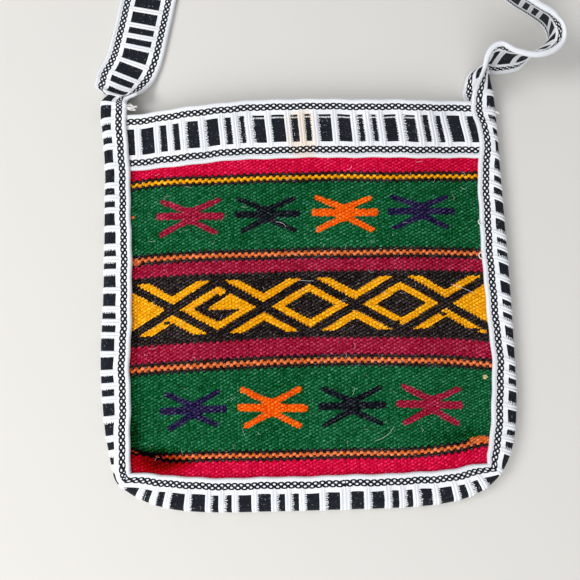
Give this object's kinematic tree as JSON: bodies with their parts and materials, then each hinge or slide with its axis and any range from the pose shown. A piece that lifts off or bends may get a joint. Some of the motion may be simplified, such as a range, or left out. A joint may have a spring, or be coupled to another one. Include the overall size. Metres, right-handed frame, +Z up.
{
  "type": "crossbody bag",
  "caption": "Flat square hand-woven pouch with striped wool panels, a folded cotton edge band and a long shoulder strap of the same band.",
  "frame": {"origin": "on the floor under the middle of the bag, on the flat underside of the back panel", "axes": "+X across the bag to its right as it lies, +Y towards the mouth and the strap, +Z up from the floor"},
  "size_m": [0.3068, 0.6894, 0.0375],
  "materials": {
    "panel_wool": "weft-faced wool weave in stripes of red, green, maroon, black and gold",
    "band_cotton": "white warp-faced cotton band with navy-black bars and chain lines"
  },
  "bodies": {
    "root": {"front_panel": "panel_wool", "back_panel": "panel_wool", "front_top_band": "band_cotton", "back_top_band": "band_cotton", "gusset_band": "band_cotton", "shoulder_strap": "band_cotton"}
  },
  "joints": []
}
